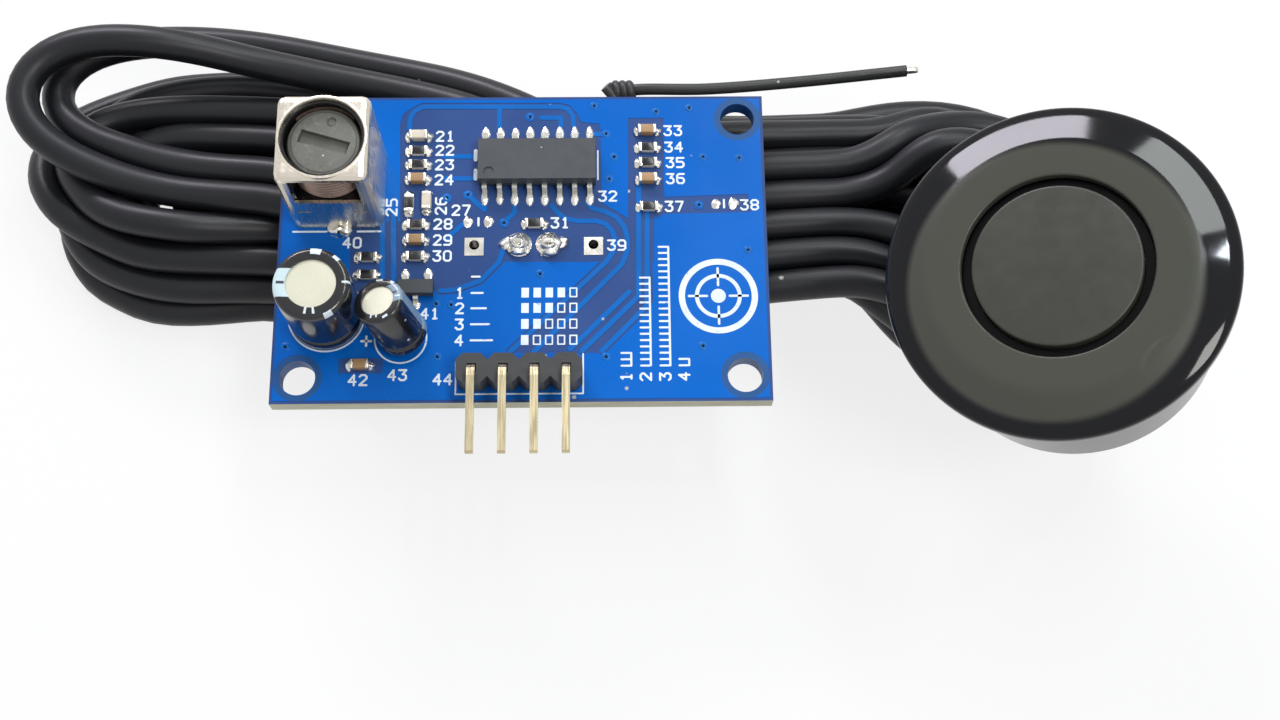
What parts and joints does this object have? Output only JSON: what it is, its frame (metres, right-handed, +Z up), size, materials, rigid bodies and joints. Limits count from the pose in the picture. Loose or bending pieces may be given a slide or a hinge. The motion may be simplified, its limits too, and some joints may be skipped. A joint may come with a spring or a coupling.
{
  "type": "ultrasonic distance sensor",
  "caption": "Ultrasonic ranging board with pin header and tuned transformer, lying on the tied hank of the cable of its round sealed probe.",
  "frame": {"origin": "on the flat underside of the tied cable hank, the face that the object lies on, under the middle of the circuit board's width", "axes": "+Z up, out of the circuit board's component side; the pin header points along -Y; the probe lies at the +X end"},
  "size_m": [0.1009, 0.045, 0.0326],
  "materials": {
    "circuit_board": "blue solder mask on glass fibre laminate",
    "cable": "black soft vinyl jacket",
    "tie": "black vinyl over thin wire",
    "red_wire": "red wire insulation",
    "white_nylon": "off-white nylon",
    "tinned_metal": "tinned",
    "gold_plate": "thin gold plate",
    "black_plastic": "moulded",
    "tinplate": "bright tin plate",
    "ferrite": "dull grey ferrite",
    "copper_wire": "enamelled copper wire",
    "capacitor_can": "bright aluminium",
    "capacitor_sleeve": "black shrink sleeve",
    "chip_resin": "moulded resin",
    "resistor": "black coat, tinned ends",
    "ceramic": "tan ceramic, tinned ends",
    "probe_shell": "black, glossy",
    "transducer": "black coated aluminium",
    "seal": "black silicone",
    "piezo": "silvered ceramic",
    "foam": "soft foam",
    "potting": "black potting compound"
  },
  "bodies": {
    "board_cable_and_probe": {"cable_gland": "seal", "cable_hank": "cable", "cable_plug": "white_nylon", "cable_socket": "white_nylon", "ceramic_capacitor_1": "ceramic", "ceramic_capacitor_2": "ceramic", "ceramic_capacitor_3": "ceramic", "ceramic_capacitor_4": "ceramic", "ceramic_capacitor_6": "ceramic", "ceramic_capacitor_7": "ceramic", "ceramic_capacitor_9": "ceramic", "circuit_board": "circuit_board", "controller_chip": "chip_resin", "damping_pad": "foam", "header_block": "black_plastic", "header_pin_1": "gold_plate", "header_pin_2": "gold_plate", "header_pin_3": "gold_plate", "header_pin_4": "gold_plate", "large_capacitor": "capacitor_can", "large_capacitor_sleeve": "capacitor_sleeve", "piezo_disc": "piezo", "plug_contact_1": "tinned_metal", "plug_contact_2": "tinned_metal", "plug_lead": "cable", "plug_wire_1": "cable", "plug_wire_2": "red_wire", "potting_fill": "potting", "probe_housing": "probe_shell", "probe_lead": "cable", "resistor_1": "resistor", "resistor_10": "resistor", "resistor_11": "resistor", "resistor_13": "resistor", "resistor_2": "resistor", "resistor_3": "resistor", "resistor_4": "resistor", "resistor_5": "resistor", "resistor_6": "resistor", "resistor_8": "resistor", "resistor_9": "resistor", "sealing_ring": "seal", "small_capacitor": "capacitor_can", "small_capacitor_sleeve": "capacitor_sleeve", "socket_pin_1": "tinned_metal", "socket_pin_2": "tinned_metal", "solder_joint_1": "tinned_metal", "solder_joint_2": "tinned_metal", "transducer_can": "transducer", "transformer_base": "black_plastic", "transformer_can": "tinplate", "transformer_drum_core": "ferrite", "transformer_holder": "black_plastic", "transformer_winding": "copper_wire", "transistor": "chip_resin", "twist_tie": "tie"},
    "tuning_cap": {"transformer_tuning_cap": "ferrite"}
  },
  "joints": [
    {"name": "tuning_cap_turn", "type": "hinge", "parent": "board_cable_and_probe", "child": "tuning_cap", "pos_m": [-0.01545, -0.00267, 0.0222], "axis": [0, 0, 1], "range_deg": [-180, 180]}
  ]
}
